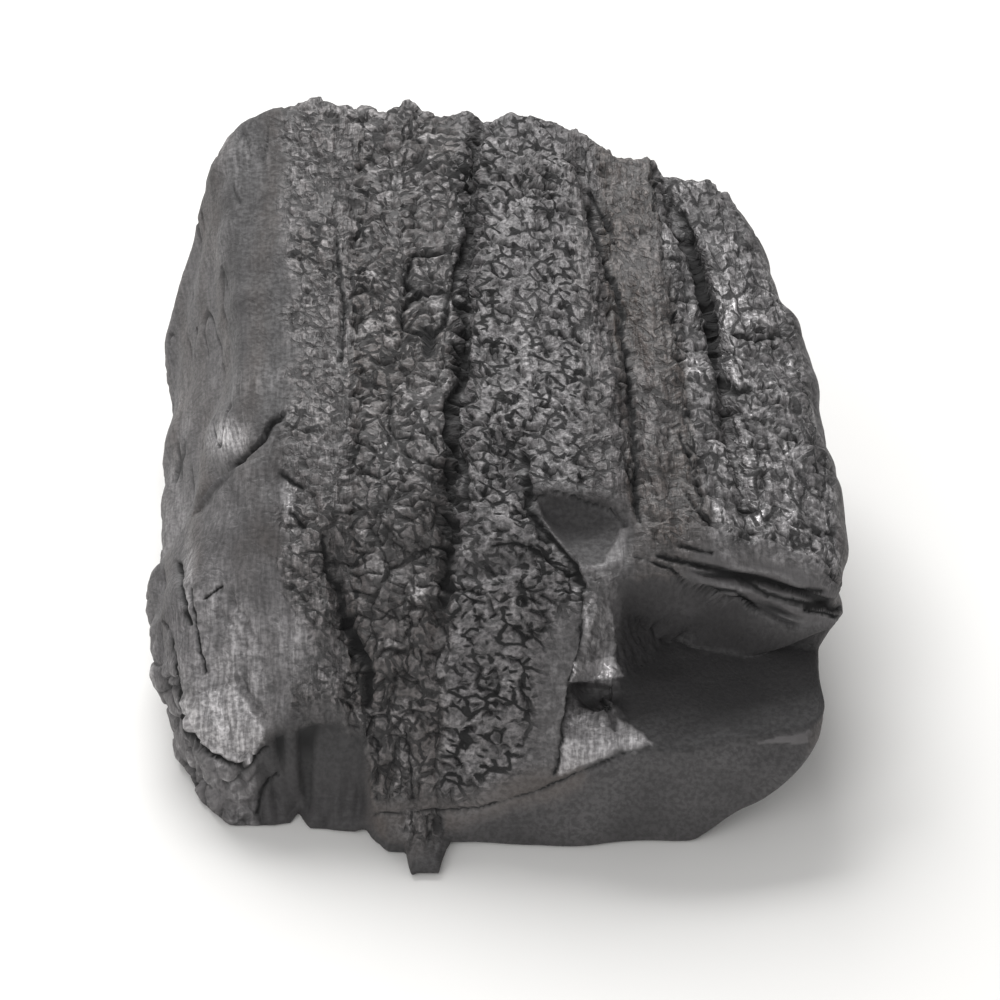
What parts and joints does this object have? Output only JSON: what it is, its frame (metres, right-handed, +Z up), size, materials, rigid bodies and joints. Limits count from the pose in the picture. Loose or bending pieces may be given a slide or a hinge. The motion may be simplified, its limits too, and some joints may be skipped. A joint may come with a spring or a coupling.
{
  "type": "charcoal lump",
  "caption": "Split lump of hardwood charcoal with a checked, fissured top, smooth scooped sides, a broken ledge and a flat broken underside.",
  "frame": {"origin": "the middle of the lump's bounding box, on the flat underside", "axes": "+Z up from the flat underside, +Y along the grain from the near end face to the broken far end, +X across the grain towards the stepped corner"},
  "size_m": [0.1308, 0.1552, 0.0692],
  "materials": {
    "charcoal": "charred, dull dark grey with silvery split faces"
  },
  "bodies": {
    "root": {"charcoal_lump": "charcoal"}
  },
  "joints": []
}
